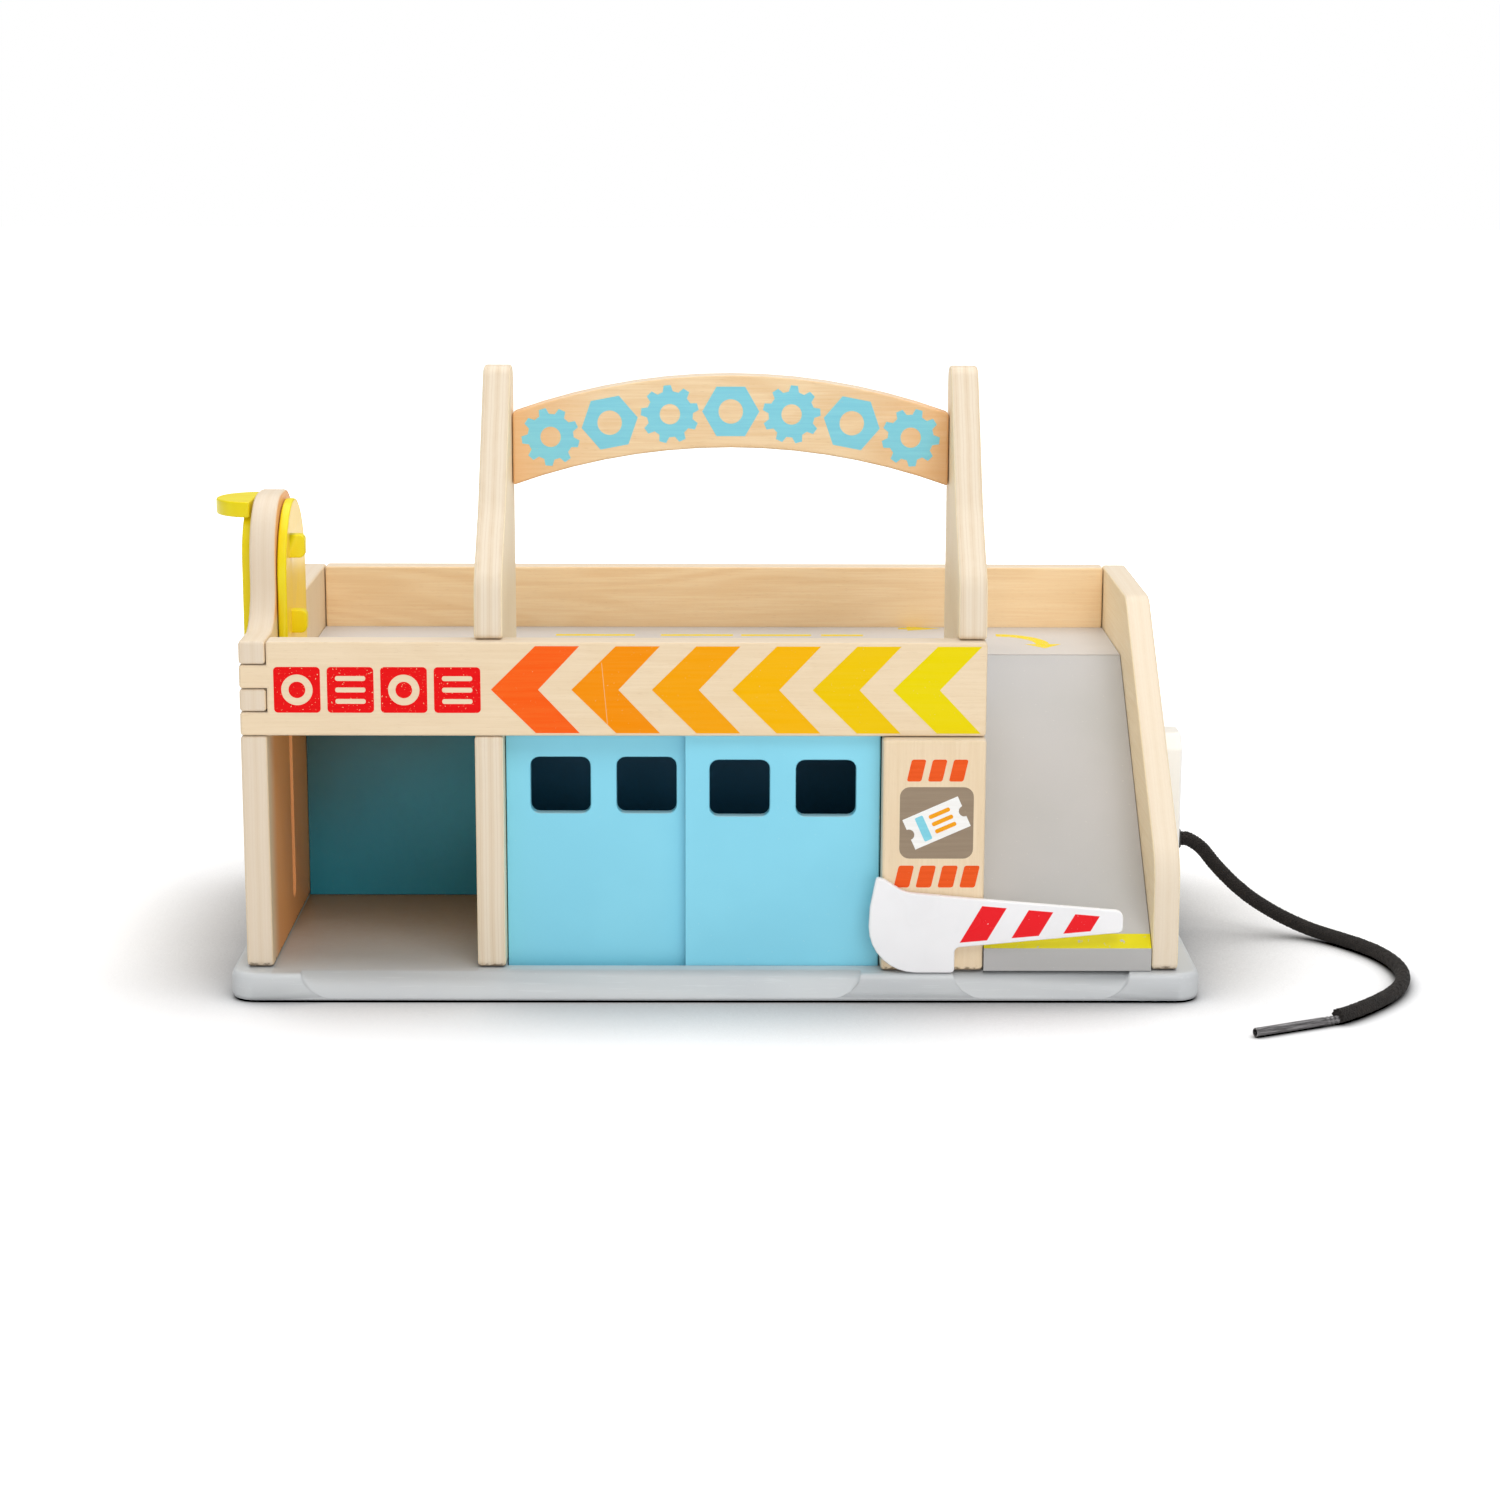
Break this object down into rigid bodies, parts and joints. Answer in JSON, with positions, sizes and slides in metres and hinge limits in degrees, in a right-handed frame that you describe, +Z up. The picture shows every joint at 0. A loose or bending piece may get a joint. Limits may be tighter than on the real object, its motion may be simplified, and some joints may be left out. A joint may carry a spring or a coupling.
{
  "type": "wooden toy parking garage",
  "caption": "Wooden toy garage with an upper deck, ramp with lifting barrier, sliding bay doors, hand-slid car lift, curved carry arch and a fuel pump with hose.",
  "frame": {"origin": "centre of the base's flat underside, on the surface that the garage stands on", "axes": "+X to the right seen from the front, along the length; +Y to the back; +Z up"},
  "size_m": [0.4901, 0.2658, 0.247],
  "materials": {
    "pale_wood": "sanded and clear lacquered, satin",
    "grey_paint": "grey painted board, satin",
    "blue_paint": "light blue painted board, satin",
    "door_blue": "light blue painted board, semi-gloss",
    "white_plastic": "moulded, satin gloss",
    "yellow_plastic": "moulded, glossy",
    "black_cord": "braided",
    "nozzle_metal": "dull drawn tube",
    "steel": "zinc plated"
  },
  "bodies": {
    "garage": {"base_board": "grey_paint", "left_wall": "pale_wood", "right_wall": "pale_wood", "rear_wall": "pale_wood", "front_fascia": "pale_wood", "deck_board": "grey_paint", "bay_back_wall": "blue_paint", "left_post_board": "pale_wood", "right_post_board": "pale_wood", "sign_arch": "pale_wood", "booth_panel": "pale_wood", "ramp_board": "grey_paint", "base_screw_1": "steel", "base_screw_2": "steel", "base_screw_3": "steel", "base_screw_4": "steel", "base_screw_5": "steel", "base_screw_6": "steel", "pump_body": "white_plastic", "pump_grommet": "black_cord", "pump_hose": "black_cord", "hose_nozzle": "nozzle_metal"},
    "left_sliding_door": {"left_door": "door_blue"},
    "right_sliding_door": {"right_door": "door_blue"},
    "barrier": {"barrier_arm": "white_plastic", "barrier_pin": "steel", "barrier_washer": "steel"},
    "lift": {"lift_carriage": "yellow_plastic", "lift_outer_plate": "yellow_plastic", "lift_screw_lower": "steel", "lift_screw_upper": "steel"}
  },
  "joints": [
    {"name": "left_door_slide", "type": "slide", "parent": "garage", "child": "left_sliding_door", "axis": [1, 0, 0], "range_m": [0, 0.0715]},
    {"name": "right_door_slide", "type": "slide", "parent": "garage", "child": "right_sliding_door", "axis": [1, 0, 0], "range_m": [-0.0715, 0]},
    {"name": "barrier_pivot", "type": "hinge", "parent": "garage", "child": "barrier", "pos_m": [0.0801, -0.106, 0.0313], "axis": [0, -1, 0], "range_deg": [0, 95]},
    {"name": "lift_slide", "type": "slide", "parent": "garage", "child": "lift", "axis": [0, 0, -1], "range_m": [0, 0.1]}
  ]
}
